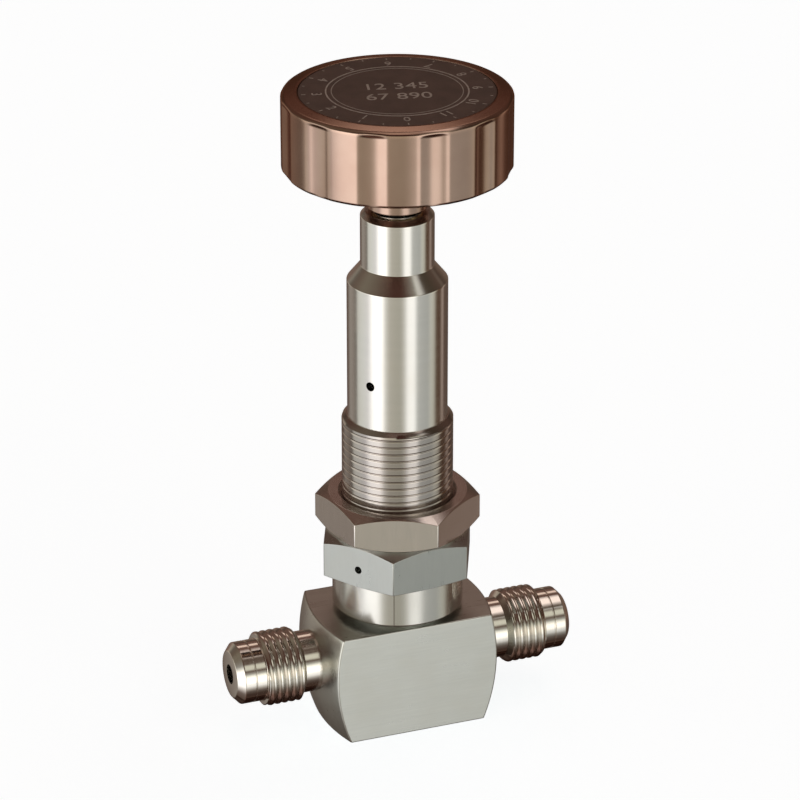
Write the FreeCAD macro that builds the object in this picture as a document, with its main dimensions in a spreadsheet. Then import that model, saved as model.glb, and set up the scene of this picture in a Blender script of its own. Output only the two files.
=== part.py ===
# Small bellows-sealed valve with two threaded ports, a panel-mount bonnet and a fluted knob.
# Origin: under the stem's axis on the underside of the body. +Z runs up the stem, +X towards the outlet.
import FreeCAD, Part
import math
import os
import Sketcher

os.makedirs("parts", exist_ok=True)
doc = FreeCAD.newDocument("BellowsValve")
sheet = doc.addObject("Spreadsheet::Sheet", "Sizes")

# Driving dimensions in millimetres and degrees
driving = {
    # body: block, ports, neck and passages
    "block_depth": 22.2,
    "block_height": 22.2,
    "port_drop": 9.0,
    "end_dome_radius": 37.0,
    "port_reach": 33.9,
    "port_overhang": 16.1,
    "port_neck_reach": 2.7,
    "port_neck_radius": 5.9,
    "port_rear_chamfer": 0.9,
    "port_thread_reach": 7.7,
    "port_thread_radius": 7.144,
    "port_thread_pitch": 1.411,
    "port_nose_radius": 5.95,
    "port_tip_radius": 4.5,
    "port_tip_chamfer": 1.3,
    "port_bore_radius": 1.9,
    "neck_wall": 0.4,
    "neck_relief": 0.7,
    "neck_relief_height": 1.4,
    "neck_height": 6.8,
    "chamber_clearance": 0.3,
    "chamber_rise": 5.4,
    "seat_height": 0.8,
    "seat_radius": 3.2,
    "seat_bore_radius": 2.1,
    "outlet_rise_offset": 5.4,
    "outlet_rise_radius": 1.4,
    # gasket, collar and union nut
    "gasket_inset": 0.2,
    "gasket_width": 1.4,
    "gasket_thickness": 0.6,
    "collar_width": 0.95,
    "collar_height": 2.8,
    "union_skirt_wall": 1.7,
    "union_skirt_gap": 1.2,
    "union_flat_stand_out": 1.1,
    "union_hex_rise": 9.1,
    "union_hex_height": 8.2,
    "union_turn": 6.3,
    "test_hole_radius": 0.75,
    "test_hole_rise": 3.6,
    "test_hole_direction": 216.3,
    # bonnet
    "bellows_room": 1.0,
    "barrel_wall": 1.05,
    "panel_thread_wall": 2.16,
    "panel_thread_pitch": 1.411,
    "panel_thread_reach": 22.8,
    "tube_step": 0.4,
    "tube_wall": 1.48,
    "cone_height": 3.1,
    "bonnet_neck_radius": 6.86,
    "bonnet_neck_height": 10.5,
    "bonnet_top_chamfer": 0.9,
    "weep_hole_radius": 0.9,
    "weep_hole_rise": 3.6,
    "weep_hole_direction": 217.0,
    # panel nut
    "panel_across_flats": 27.0,
    "panel_nut_thickness": 6.9,
    "panel_nut_turn": 38.3,
    "hexagon_chamfer_height": 1.2,
    "hexagon_chamfer_inset": 0.4,
    "hexagon_foot_chamfer": 0.3,
    # bellows, its rings and the spindle
    "bellows_radius": 7.3,
    "bellows_bore": 4.7,
    "bellows_wall": 0.25,
    "bellows_rise": 6.6,
    "bellows_reach": 29.0,
    "bellows_folds": 14,
    "foot_ring_height": 2.2,
    "foot_ring_radius": 7.2,
    "top_ring_height": 3.4,
    "spindle_radius": 3.0,
    "guide_wall": 1.5,
    "guide_flange_radius": 5.8,
    "guide_flange_height": 1.0,
    "guide_pin_radius": 0.7,
    "keyway_depth": 0.7,
    "tip_radius": 3.6,
    "tip_thickness": 2.0,
    "tip_stand_out": 0.7,
    "tip_holder_wall": 1.0,
    "tip_holder_web": 0.8,
    "tip_holder_socket": 3.9,
    # coupling between spindle and drive stem
    "coupling_gap": 1.2,
    "coupling_plug_height": 2.8,
    "coupling_radius": 6.4,
    "coupling_bore": 4.7,
    "coupling_lip": 1.4,
    "thrust_disc_thickness": 0.8,
    "ball_radius": 1.5,
    "stem_head_lift": 1.0,
    "stem_head_thickness": 2.2,
    "slip_washer_thickness": 0.5,
    # drive stem and its nut
    "stem_neck_radius": 3.0,
    "stem_pitch_radius": 3.7,
    "stem_neck_reach": 5.22,
    "stem_square": 5.0,
    "stem_short": 0.3,
    "lift": 1.875,
    "drive_nut_radius": 5.2,
    "drive_nut_flange_radius": 7.2,
    "drive_nut_flange_height": 2.4,
    "drive_nut_rise": 1.6,
    "drive_nut_height": 15.7,
    "wiper_height": 1.2,
    "wiper_clearance": 0.1,
    "neck_lip": 0.9,
    "neck_lip_bore": 4.5,
    # knob
    "knob_radius": 21.13,
    "knob_side_height": 13.65,
    "knob_edge": 0.5,
    "knob_shoulder_inset": 0.75,
    "knob_shoulder_height": 0.55,
    "knob_crown_inset": 2.6,
    "knob_crown_height": 0.5,
    "boss_radius": 5.7,
    "boss_gap": 0.8,
    "boss_height": 7.5,
    "core_bore": 8.4,
    "core_inset": 4.13,
    "core_depth": 4.0,
    "flutes": 12,
    "flute_radius": 9.5,
    "flute_depth": 0.5,
    "flute_direction": 27.3,
    "screw_pocket_radius": 5.4,
    "insert_radius": 4.7,
    "insert_head_radius": 7.5,
    "insert_head_height": 2.6,
    "insert_rise": 6.5,
    "insert_foot_gap": 0.4,
    "screw_radius": 1.5,
    "screw_length": 9.0,
    "screw_head_radius": 3.4,
    "screw_head_height": 1.9,
    "screw_slot_width": 0.9,
    "screw_slot_depth": 0.9,
    "knob_washer_radius": 4.2,
    "knob_washer_thickness": 0.7,
    "disc_inset": 3.1,
    "disc_thickness": 0.9,
    "disc_sink": 0.1,
    # clearances
    "running_clearance": 0.05,
    "fixed_clearance": 0.03,
    "seat_gap": 0.1,
}
for row, (name, number) in enumerate(driving.items(), start=1):
    sheet.set("A%d" % row, name)
    sheet.set("B%d" % row, str(number))
    sheet.setAlias("B%d" % row, name)
doc.recompute()


# A length that carries its value and the text that binds it to the sheet
class Length:
    def __init__(self, value, text):
        self.value = value
        self.text = text

    def __add__(self, other):
        other = as_length(other)
        return Length(self.value + other.value, "(%s + %s)" % (self.text, other.text))

    def __sub__(self, other):
        other = as_length(other)
        return Length(self.value - other.value, "(%s - %s)" % (self.text, other.text))

    def __rsub__(self, other):
        return as_length(other) - self

    def __mul__(self, factor):
        return Length(self.value * factor, "(%s * %.9g)" % (self.text, factor))

    def __truediv__(self, other):
        if isinstance(other, Length):
            return Length(self.value / other.value, "(%s / %s)" % (self.text, other.text))
        return Length(self.value / other, "(%s / %.9g)" % (self.text, other))

    def __neg__(self):
        return Length(-self.value, "(0 - %s)" % self.text)


def as_length(number):
    return number if isinstance(number, Length) else Length(float(number), "%.9g" % number)


# The sheet's cells by name, such as size.knob_radius
class Cells:
    def __init__(self, numbers):
        for name, number in numbers.items():
            setattr(self, name, Length(float(number), "Sizes." + name))


size = Cells(driving)

# Lengths along the ports that follow from the driving dimensions
end_reach = size.port_reach - size.port_overhang
port_thread_rear = end_reach + size.port_neck_reach
port_thread_front = port_thread_rear + size.port_thread_reach

# Radii that follow, from the bellows outwards
barrel_bore = size.bellows_radius + size.bellows_room
barrel_radius = barrel_bore + size.barrel_wall
collar_radius = barrel_radius + size.collar_width
neck_pitch_radius = collar_radius + size.neck_wall
neck_relief_radius = neck_pitch_radius - size.neck_relief
union_skirt_radius = neck_pitch_radius + size.union_skirt_wall
union_across_flats = (union_skirt_radius + size.union_flat_stand_out) * 2
chamber_radius = size.bellows_radius + size.chamber_clearance
gasket_bore = barrel_bore + size.gasket_inset
gasket_radius = gasket_bore + size.gasket_width
panel_thread_radius = barrel_bore + size.panel_thread_wall
tube_bore = barrel_bore - size.tube_step
tube_radius = tube_bore + size.tube_wall
guide_radius = size.spindle_radius + size.running_clearance + size.guide_wall
stem_head_radius = size.coupling_bore - size.running_clearance
stem_bore = size.stem_pitch_radius + size.running_clearance
knob_shoulder_radius = size.knob_radius - size.knob_shoulder_inset
knob_crown_radius = size.knob_radius - size.knob_crown_inset
disc_radius = size.knob_radius - size.disc_inset
core_radius = size.knob_radius - size.core_inset

# Heights that follow, from the seat up to the knob
port_height = size.block_height - size.port_drop
chamber_floor = port_height + size.chamber_rise
seat_top = chamber_floor + size.seat_height
tip_foot = seat_top + size.seat_gap
tip_top = tip_foot + size.tip_thickness
spindle_foot = tip_top + size.tip_holder_web
tip_holder_head = spindle_foot + size.tip_holder_socket
foot_ring_foot = tip_holder_head + size.bellows_rise
bellows_foot = foot_ring_foot + size.foot_ring_height
bellows_head = bellows_foot + size.bellows_reach
top_ring_top = bellows_head + size.top_ring_height
guide_pin_height = bellows_head + size.top_ring_height / 2
guide_flange_top = top_ring_top + size.guide_flange_height
coupling_foot = guide_flange_top + size.coupling_gap
spindle_top = coupling_foot + size.coupling_plug_height
disc_top = spindle_top + size.thrust_disc_thickness
ball_centre = disc_top + size.ball_radius + size.fixed_clearance
stem_head_foot = disc_top + size.stem_head_lift
stem_head_top = stem_head_foot + size.stem_head_thickness
washer_foot = stem_head_top + size.fixed_clearance
washer_top = washer_foot + size.slip_washer_thickness
coupling_lip_foot = washer_top + size.running_clearance
coupling_cap_top = coupling_lip_foot + size.coupling_lip
stem_thread_foot = coupling_cap_top + size.stem_neck_reach
drive_nut_foot = stem_thread_foot + size.drive_nut_rise
drive_nut_shoulder = drive_nut_foot + size.drive_nut_flange_height
drive_nut_top = drive_nut_foot + size.drive_nut_height
wiper_top = drive_nut_top + size.wiper_height
bonnet_top = wiper_top + size.neck_lip
cone_top = bonnet_top - size.bonnet_neck_height
tube_top = cone_top - size.cone_height
weep_hole_height = top_ring_top + size.weep_hole_rise
boss_foot = bonnet_top + size.boss_gap
knob_foot = boss_foot + size.boss_height
knob_rim = knob_foot + size.knob_side_height
knob_shoulder = knob_rim + size.knob_shoulder_height
knob_crown = knob_shoulder + size.knob_crown_height
insert_top = knob_foot + size.insert_rise
insert_head_foot = insert_top - size.insert_head_height
screw_seat = insert_top + size.knob_washer_thickness
plate_top = knob_crown - size.disc_sink
plate_foot = plate_top - size.disc_thickness

# Heights of what clamps the bonnet to the body
neck_top = size.block_height + size.neck_height
gasket_top = neck_top + size.gasket_thickness
collar_top = gasket_top + size.collar_height
union_hex_foot = size.block_height + size.union_hex_rise
union_top = union_hex_foot + size.union_hex_height
test_hole_height = union_hex_foot + size.test_hole_rise
panel_thread_top = union_top + size.panel_thread_reach
panel_nut_top = union_top + size.panel_nut_thickness
thread_depth_share = 0.6134


def bind(thing, name, amount):
    thing.setExpression(name, as_length(amount).text)


def origin_plane(body, role):
    return [feature for feature in body.Origin.OriginFeatures if feature.Role == role][0]


def outline_sketch(body, name, points):
    # A closed outline of straight runs, each corner tied to the sheet
    sketch = body.newObject("Sketcher::SketchObject", name)
    sketch.AttachmentSupport = [(origin_plane(body, "XZ_Plane"), "")]
    sketch.MapMode = "FlatFace"
    points = [(as_length(across), as_length(up)) for across, up in points]
    corners = [FreeCAD.Vector(across.value, up.value, 0) for across, up in points]
    count = len(corners)
    sketch.addGeometry([Part.LineSegment(corners[i], corners[(i + 1) % count]) for i in range(count)], False)
    sketch.addConstraint([Sketcher.Constraint("Coincident", i, 2, (i + 1) % count, 1) for i in range(count)])
    for i, (across, up) in enumerate(points):
        for kind, axis, amount in (("DistanceX", -2, across), ("DistanceY", -1, up)):
            if abs(amount.value) < 1e-9:
                sketch.addConstraint(Sketcher.Constraint("PointOnObject", i, 1, axis))
                continue
            index = sketch.addConstraint(Sketcher.Constraint(kind, -1, 1, i, 1, amount.value))
            bind(sketch, "Constraints[%d]" % index, amount)
    return sketch


def turned(name, points, axis="V_Axis"):
    # A turned piece: the outline runs (radius, height), or (distance, radius) round the H_Axis
    body = doc.addObject("PartDesign::Body", name)
    sketch = outline_sketch(body, name + "_outline", points)
    revolution = body.newObject("PartDesign::Revolution", name + "_turned")
    revolution.Profile = (sketch, [""])
    revolution.ReferenceAxis = (sketch, [axis])
    revolution.Angle = 360
    return body


def place(thing, x=0, y=0, z=0, rotation=None):
    position = [as_length(amount) for amount in (x, y, z)]
    corner = FreeCAD.Vector(*[amount.value for amount in position])
    thing.Placement = FreeCAD.Placement(corner, rotation or FreeCAD.Rotation())
    for letter, amount in zip("xyz", position):
        bind(thing, "Placement.Base." + letter, amount)
    return thing


def rod(name, radius, reach, x=0, y=0, z=0, rotation=None):
    cylinder = doc.addObject("Part::Cylinder", name)
    bind(cylinder, "Radius", radius)
    bind(cylinder, "Height", reach)
    return place(cylinder, x, y, z, rotation)


def block(name, wide, deep, tall, z):
    # A box centred on the stem's axis
    box = doc.addObject("Part::Box", name)
    bind(box, "Length", wide)
    bind(box, "Width", deep)
    bind(box, "Height", tall)
    return place(box, -wide / 2, -deep / 2, z)


def hexagon(name, across_flats, foot, top, turn):
    prism = doc.addObject("Part::Prism", name)
    prism.Polygon = 6
    bind(prism, "Circumradius", across_flats / math.sqrt(3))
    bind(prism, "Height", top - foot)
    return place(prism, 0, 0, foot, about_z(turn.value))


def about_z(degrees):
    return FreeCAD.Rotation(FreeCAD.Vector(0, 0, 1), degrees)


def outwards(degrees):
    # Turns a rod to lie level and point away from the axis in this direction
    return about_z(degrees).multiply(FreeCAD.Rotation(FreeCAD.Vector(0, 1, 0), 90))


def fused(name, pieces):
    whole = doc.addObject("Part::MultiFuse", name)
    whole.Shapes = pieces
    return whole


def cut(name, base, tool):
    result = doc.addObject("Part::Cut", name)
    result.Base = base
    result.Tool = tool
    return result


def common(name, first, second):
    result = doc.addObject("Part::Common", name)
    result.Base = first
    result.Tool = second
    return result


def thread_grooves(crest, pitch, start, end):
    # Ring grooves with 60 degree flanks, as (radius, distance) from start to end
    depth = pitch * thread_depth_share
    width = depth * (2 * math.tan(math.radians(30)))
    crest_width = pitch - width
    count = int((end.value - start.value - crest_width.value) / pitch.value + 1e-6)
    points = []
    for i in range(count):
        low = start + crest_width + pitch * i
        points += [(crest, low), (crest - depth, low + width / 2), (crest, low + width)]
    return points


# Valve body

def make_valve_body():
    blank = block("block_blank", end_reach * 2, size.block_depth, size.block_height, 0)
    ends = []
    for side, facing, name in ((1, 0, "outlet_dome"), (-1, 180, "inlet_dome")):
        ball = doc.addObject("Part::Sphere", name)
        bind(ball, "Radius", size.end_dome_radius)
        centre = (end_reach - size.end_dome_radius) * side
        ends.append(place(ball, centre, 0, port_height, outwards(facing)))
    domed = common("domed_block", common("half_domed_block", blank, ends[0]), ends[1])

    half = [(port_thread_rear, size.port_neck_radius)]
    thread_start = port_thread_rear + size.port_rear_chamfer
    half.append((thread_start, size.port_thread_radius))
    half += [(along, radius) for radius, along in thread_grooves(
        size.port_thread_radius, size.port_thread_pitch, thread_start, port_thread_front)]
    half += [
        (port_thread_front, size.port_thread_radius),
        (port_thread_front, size.port_nose_radius),
        (size.port_reach - size.port_tip_chamfer, size.port_nose_radius),
        (size.port_reach, size.port_tip_radius),
        (size.port_reach, 0),
    ]
    other_half = [(-along, radius) for along, radius in reversed(half)]
    ports = turned("ports", other_half + half, "H_Axis")
    place(ports, 0, 0, port_height)

    neck = turned("body_neck", [
        (0, chamber_floor),
        (neck_relief_radius, chamber_floor),
        (neck_relief_radius, size.block_height + size.neck_relief_height),
        (neck_pitch_radius, size.block_height + size.neck_relief_height),
        (neck_pitch_radius, neck_top),
        (0, neck_top),
    ])
    chamber = turned("chamber", [
        (0, seat_top),
        (size.seat_radius, seat_top),
        (size.seat_radius + size.seat_height / 2, chamber_floor),
        (chamber_radius, chamber_floor),
        (chamber_radius, neck_top + size.neck_height),
        (0, neck_top + size.neck_height),
    ])
    sideways = outwards(0)
    inlet = rod("inlet_drilling", size.port_bore_radius, size.port_reach,
                -size.port_reach, 0, port_height, sideways)
    outlet = rod("outlet_drilling", size.port_bore_radius, size.port_reach - size.outlet_rise_offset,
                 size.outlet_rise_offset, 0, port_height, sideways)
    seat = rod("seat_drilling", size.seat_bore_radius, seat_top - port_height, 0, 0, port_height)
    rise = rod("outlet_rise", size.outlet_rise_radius, chamber_floor - port_height,
               size.outlet_rise_offset, 0, port_height)
    solid = fused("body_solid", [domed, ports, neck])
    return cut("valve_body", solid, fused("body_passages", [chamber, inlet, outlet, seat, rise]))


def make_bonnet_gasket():
    return turned("bonnet_gasket", [
        (gasket_bore, neck_top), (gasket_radius, neck_top),
        (gasket_radius, gasket_top), (gasket_bore, gasket_top),
    ])


def make_bonnet_collar():
    bore = barrel_radius + size.fixed_clearance
    return turned("bonnet_collar", [
        (bore, gasket_top), (collar_radius, gasket_top),
        (collar_radius, collar_top), (bore, collar_top),
    ])


def make_bonnet_housing():
    crest = panel_thread_radius
    pitch = size.panel_thread_pitch
    thread_foot = union_top + size.running_clearance
    relief = crest - pitch * thread_depth_share
    nut_bore = size.drive_nut_radius + size.fixed_clearance
    flange_bore = size.drive_nut_flange_radius + size.fixed_clearance
    points = [(barrel_bore, gasket_top), (barrel_radius, gasket_top),
              (barrel_radius, thread_foot), (relief, thread_foot), (crest, thread_foot + pitch / 2)]
    points += thread_grooves(crest, pitch, thread_foot + pitch / 2, panel_thread_top - pitch / 2)
    points += [
        (crest, panel_thread_top - pitch / 2),
        (relief, panel_thread_top),
        (tube_radius, panel_thread_top),
        (tube_radius, tube_top),
        (size.bonnet_neck_radius, cone_top),
        (size.bonnet_neck_radius, bonnet_top - size.bonnet_top_chamfer),
        (size.bonnet_neck_radius - size.bonnet_top_chamfer, bonnet_top),
        (size.neck_lip_bore, bonnet_top),
        (size.neck_lip_bore, wiper_top),
        (nut_bore, wiper_top),
        (nut_bore, drive_nut_shoulder),
        (flange_bore, drive_nut_shoulder),
        (flange_bore, drive_nut_foot),
        (tube_bore, drive_nut_foot),
        (tube_bore, top_ring_top),
        (barrel_bore, top_ring_top),
    ]
    shell = turned("bonnet_shell", points)
    weep = rod("weep_drilling", size.weep_hole_radius, tube_radius * 2, 0, 0, weep_hole_height,
               outwards(size.weep_hole_direction.value))
    return cut("bonnet_housing", shell, weep)


def make_union_nut():
    corner = union_across_flats / math.sqrt(3)
    flat = union_across_flats / 2
    chamfer = size.hexagon_chamfer_height
    foot = size.block_height + size.union_skirt_gap
    thread_bore = neck_pitch_radius + size.running_clearance
    bonnet_bore = barrel_radius + size.running_clearance
    shape = turned("union_turned", [
        (thread_bore, foot),
        (union_skirt_radius, foot),
        (union_skirt_radius, union_hex_foot),
        (flat, union_hex_foot),
        (corner, union_hex_foot + size.hexagon_foot_chamfer),
        (corner, union_top - chamfer),
        (flat - size.hexagon_chamfer_inset, union_top),
        (bonnet_bore, union_top),
        (bonnet_bore, collar_top),
        (thread_bore, collar_top),
    ])
    prism = hexagon("union_hexagon", union_across_flats, foot, union_top, size.union_turn)
    hole = rod("test_drilling", size.test_hole_radius, corner * 2, 0, 0, test_hole_height,
               outwards(size.test_hole_direction.value))
    return cut("union_nut", common("union_solid", prism, shape), hole)


def make_panel_nut():
    corner = size.panel_across_flats / math.sqrt(3)
    flat = size.panel_across_flats / 2
    chamfer = size.hexagon_chamfer_height
    bore = panel_thread_radius + size.running_clearance
    shape = turned("panel_nut_turned", [
        (bore, union_top),
        (flat - size.hexagon_chamfer_inset, union_top),
        (corner, union_top + chamfer),
        (corner, panel_nut_top - chamfer),
        (flat - size.hexagon_chamfer_inset, panel_nut_top),
        (bore, panel_nut_top),
    ])
    prism = hexagon("panel_hexagon", size.panel_across_flats, union_top, panel_nut_top, size.panel_nut_turn)
    return common("panel_nut", prism, shape)


# Bellows and the pieces that hold its two ends

def make_bellows():
    folds = int(driving["bellows_folds"])
    pitch = (bellows_head - bellows_foot) / folds
    wall = size.bellows_wall
    gap = pitch / 2
    outside = []
    inside = []
    for i in range(folds):
        foot = bellows_foot + pitch * i
        head = bellows_foot + pitch * (i + 1)
        outside += [(size.bellows_bore + wall, foot), (size.bellows_bore + wall, foot + gap),
                    (size.bellows_radius, foot + gap), (size.bellows_radius, head)]
        inside += [(size.bellows_bore, foot), (size.bellows_bore, foot + gap + wall),
                   (size.bellows_radius - wall, foot + gap + wall), (size.bellows_radius - wall, head - wall),
                   (size.bellows_bore, head - wall)]
    outline = []
    for i in range(folds):
        outline += outside[4 * i:4 * i + 4]
    last = bellows_head
    outline.append((size.bellows_bore, last))
    for i in reversed(range(folds)):
        step = inside[5 * i:5 * i + 5]
        outline += [step[4], step[3], step[2], step[1]]
    outline.append((size.bellows_bore, bellows_foot))
    return turned("bellows", tidy_outline(outline))


def tidy_outline(points):
    # Drops a corner that repeats the one before it or lies on a straight run
    kept = []
    for i, point in enumerate(points):
        before = points[i - 1]
        after = points[(i + 1) % len(points)]
        flat = [abs(point[k].value - before[k].value) + abs(point[k].value - after[k].value) for k in (0, 1)]
        if min(flat) > 1e-9 or max(flat) < 1e-9:
            kept.append(point)
            continue
        run = 1 if flat[0] < flat[1] else 0
        passes = (point[run].value - before[run].value) * (after[run].value - point[run].value)
        if passes <= 0:
            kept.append(point)
    return kept


def make_bellows_foot_ring():
    bore = size.spindle_radius + size.fixed_clearance
    foot = bellows_foot - size.foot_ring_height
    return turned("bellows_foot_ring", [
        (bore, foot), (size.foot_ring_radius, foot),
        (size.foot_ring_radius, bellows_foot), (bore, bellows_foot),
    ])


def guide_pin_rod(name, clearance):
    inner_end = size.spindle_radius - size.keyway_depth + size.running_clearance * 2
    outer_end = barrel_bore - size.fixed_clearance * 2
    return rod(name, size.guide_pin_radius + clearance, outer_end - inner_end + clearance,
               inner_end, 0, guide_pin_height, outwards(0))


def make_bellows_top_ring():
    bore = guide_radius + size.fixed_clearance
    rim = barrel_bore - size.fixed_clearance
    ring = turned("top_ring_turned", [
        (bore, bellows_head), (rim, bellows_head), (rim, top_ring_top), (bore, top_ring_top),
    ])
    return cut("bellows_top_ring", ring, guide_pin_rod("top_ring_drilling", size.fixed_clearance))


def make_spindle_guide():
    bore = size.spindle_radius + size.running_clearance
    flange_top = top_ring_top + size.guide_flange_height
    bush = turned("guide_turned", [
        (bore, bellows_head), (guide_radius, bellows_head), (guide_radius, top_ring_top),
        (size.guide_flange_radius, top_ring_top), (size.guide_flange_radius, flange_top), (bore, flange_top),
    ])
    return cut("spindle_guide", bush, guide_pin_rod("guide_drilling", size.fixed_clearance))


def make_guide_pin():
    return guide_pin_rod("guide_pin", as_length(0))


def make_spindle():
    rod_piece = rod("spindle_rod", size.spindle_radius, spindle_top - spindle_foot, 0, 0, spindle_foot)
    half_width = size.guide_pin_radius + size.running_clearance * 2
    keyway = doc.addObject("Part::Box", "keyway")
    bind(keyway, "Length", size.keyway_depth * 2)
    bind(keyway, "Width", half_width * 2)
    bind(keyway, "Height", half_width * 2 + size.lift)
    place(keyway, size.spindle_radius - size.keyway_depth, -half_width, guide_pin_height - half_width - size.lift)
    return cut("spindle", rod_piece, keyway)


def make_seat_tip():
    return turned("seat_tip", [
        (0, tip_foot), (size.tip_radius - size.fixed_clearance, tip_foot),
        (size.tip_radius - size.fixed_clearance, tip_top), (0, tip_top),
    ])


def make_tip_holder():
    rim = size.tip_radius + size.tip_holder_wall
    socket = size.spindle_radius + size.fixed_clearance
    foot = tip_foot + size.tip_stand_out
    head = spindle_foot + size.tip_holder_socket
    return turned("tip_holder", [
        (size.tip_radius, foot), (rim, foot), (rim, head), (socket, head),
        (socket, spindle_foot), (0, spindle_foot), (0, tip_top), (size.tip_radius, tip_top),
    ])


# Coupling between the spindle, which only lifts, and the drive stem, which also turns

def make_coupling_plug():
    bore = size.spindle_radius + size.fixed_clearance
    rim = size.coupling_bore - size.fixed_clearance
    return turned("coupling_plug", [
        (bore, coupling_foot), (rim, coupling_foot), (rim, spindle_top), (bore, spindle_top),
    ])


def make_coupling_cap():
    neck = size.stem_neck_radius + size.running_clearance
    lip_top = coupling_lip_foot + size.coupling_lip
    return turned("coupling_cap", [
        (size.coupling_bore, coupling_foot), (size.coupling_radius, coupling_foot),
        (size.coupling_radius, lip_top), (neck, lip_top),
        (neck, coupling_lip_foot), (size.coupling_bore, coupling_lip_foot),
    ])


def make_thrust_disc():
    rim = size.coupling_bore - size.fixed_clearance
    return turned("thrust_disc", [(0, spindle_top), (rim, spindle_top), (rim, disc_top), (0, disc_top)])


def make_thrust_ball():
    ball = doc.addObject("Part::Sphere", "thrust_ball")
    bind(ball, "Radius", size.ball_radius)
    return place(ball, 0, 0, ball_centre)


def make_slip_washer():
    bore = size.stem_neck_radius + size.running_clearance
    rim = size.coupling_bore - size.fixed_clearance
    return turned("slip_washer", [(bore, washer_foot), (rim, washer_foot), (rim, washer_top), (bore, washer_top)])


def make_drive_stem():
    socket_radius = size.ball_radius + size.running_clearance
    socket_top = ball_centre + size.ball_radius + size.fixed_clearance
    square_foot = boss_foot
    screw_bore = size.screw_radius + size.fixed_clearance
    shank = turned("stem_turned", [
        (socket_radius, stem_head_foot), (stem_head_radius, stem_head_foot), (stem_head_radius, stem_head_top),
        (size.stem_neck_radius, stem_head_top), (size.stem_neck_radius, stem_thread_foot),
        (size.stem_pitch_radius, stem_thread_foot), (size.stem_pitch_radius, square_foot),
        (0, square_foot), (0, socket_top), (socket_radius, socket_top),
    ])
    stem_top = insert_top - size.stem_short
    square = block("stem_square_end", size.stem_square, size.stem_square, stem_top - square_foot, square_foot)
    hole_foot = screw_seat - size.screw_length - size.stem_short
    hole = rod("stem_tapping", screw_bore, stem_top - hole_foot, 0, 0, hole_foot)
    return cut("drive_stem", fused("stem_solid", [shank, square]), hole)


def make_drive_nut():
    return turned("drive_nut", [
        (stem_bore, drive_nut_foot), (size.drive_nut_flange_radius, drive_nut_foot),
        (size.drive_nut_flange_radius, drive_nut_shoulder), (size.drive_nut_radius, drive_nut_shoulder),
        (size.drive_nut_radius, drive_nut_top), (stem_bore, drive_nut_top),
    ])


def make_stem_wiper():
    bore = size.stem_pitch_radius + size.wiper_clearance
    return turned("stem_wiper", [
        (bore, drive_nut_top), (size.drive_nut_radius, drive_nut_top),
        (size.drive_nut_radius, wiper_top), (bore, wiper_top),
    ])


# Knob and what fixes it to the drive stem

def make_knob():
    insert_bore = size.insert_radius + size.fixed_clearance
    head_bore = size.insert_head_radius + size.fixed_clearance
    core_top = knob_foot + size.core_depth
    plate_bore = disc_radius + size.fixed_clearance
    knob = turned("knob", [
        (insert_bore, boss_foot), (size.boss_radius, boss_foot),
        (size.boss_radius, knob_foot), (size.core_bore, knob_foot), (size.core_bore, core_top),
        (core_radius, core_top), (core_radius, knob_foot),
        (size.knob_radius - size.knob_edge, knob_foot),
        (size.knob_radius, knob_foot + size.knob_edge), (size.knob_radius, knob_rim),
        (knob_shoulder_radius, knob_shoulder), (knob_crown_radius, knob_crown), (plate_bore, knob_crown),
        (plate_bore, plate_foot), (size.screw_pocket_radius, plate_foot),
        (size.screw_pocket_radius, insert_top), (head_bore, insert_top),
        (head_bore, insert_head_foot), (insert_bore, insert_head_foot),
    ])
    doc.recompute()
    plain = knob.Shape.Volume
    sketch = knob.newObject("Sketcher::SketchObject", "flute_outline")
    sketch.AttachmentSupport = [(origin_plane(knob, "XY_Plane"), "")]
    sketch.MapMode = "FlatFace"
    centre = size.knob_radius + size.flute_radius - size.flute_depth
    circle = Part.Circle(FreeCAD.Vector(centre.value, 0, 0), FreeCAD.Vector(0, 0, 1), size.flute_radius.value)
    sketch.addGeometry(circle, False)
    sketch.addConstraint(Sketcher.Constraint("PointOnObject", 0, 3, -1))
    index = sketch.addConstraint(Sketcher.Constraint("DistanceX", -1, 1, 0, 3, centre.value))
    bind(sketch, "Constraints[%d]" % index, centre)
    index = sketch.addConstraint(Sketcher.Constraint("Radius", 0, size.flute_radius.value))
    bind(sketch, "Constraints[%d]" % index, size.flute_radius)
    flute = knob.newObject("PartDesign::Pocket", "flute")
    flute.Profile = (sketch, [""])
    flute.Type = "ThroughAll"
    flute.Reversed = True
    pattern = knob.newObject("PartDesign::PolarPattern", "flute_ring")
    pattern.Originals = [flute]
    pattern.Axis = (sketch, ["N_Axis"])
    pattern.Angle = 360
    pattern.Occurrences = int(driving["flutes"])
    knob.Tip = pattern
    doc.recompute()
    one_flute = plain - flute.Shape.Volume
    if one_flute <= 0 or plain - knob.Shape.Volume < one_flute * (pattern.Occurrences - 0.5):
        raise RuntimeError("the knob's flutes did not cut")
    return place(knob, 0, 0, 0, about_z(size.flute_direction.value))


def make_knob_insert():
    foot = boss_foot + size.insert_foot_gap
    blank = turned("insert_turned", [
        (0, foot), (size.insert_radius, foot), (size.insert_radius, insert_head_foot),
        (size.insert_head_radius, insert_head_foot), (size.insert_head_radius, insert_top),
        (0, insert_top),
    ])
    socket = size.stem_square + size.fixed_clearance * 2
    hole = block("insert_square_hole", socket, socket, insert_top - foot, foot)
    return cut("knob_insert", blank, hole)


def make_knob_washer():
    bore = size.screw_radius + size.fixed_clearance * 2
    return turned("knob_washer", [
        (bore, insert_top), (size.knob_washer_radius, insert_top),
        (size.knob_washer_radius, screw_seat), (bore, screw_seat),
    ])


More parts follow.
